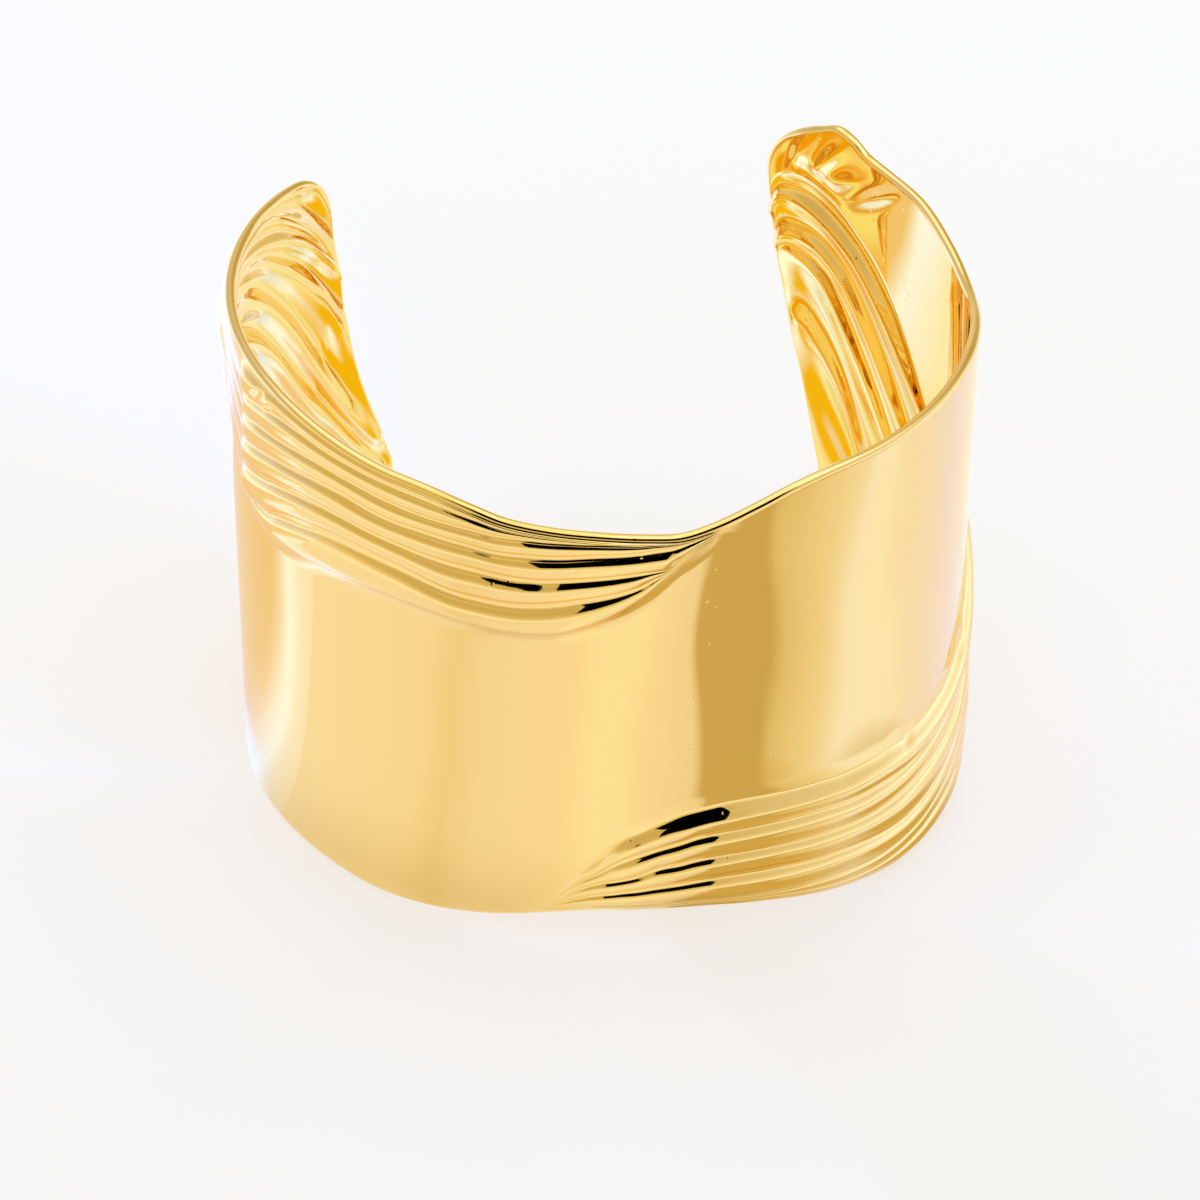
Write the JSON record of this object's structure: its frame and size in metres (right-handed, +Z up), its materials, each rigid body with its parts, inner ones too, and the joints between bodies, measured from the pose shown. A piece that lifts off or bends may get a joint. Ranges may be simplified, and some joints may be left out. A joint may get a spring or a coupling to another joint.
{
  "type": "cuff bracelet",
  "caption": "Wide gold cuff bracelet: a springy open oval band standing on its rim, with stamped pleats fanning round to the arm ends.",
  "frame": {"origin": "middle of the cuff in plan, on the surface that it stands on", "axes": "+Z up along the wrist; +Y towards the open gap, so the front of the cuff faces -Y; +X towards the arm whose pleats rise from the lower rim"},
  "size_m": [0.069, 0.0568, 0.0523],
  "materials": {
    "gold": "mirror-polished yellow gold plating, with fine casting pits on the pleats"
  },
  "bodies": {
    "root": {"cuff_band": "gold"}
  },
  "joints": []
}
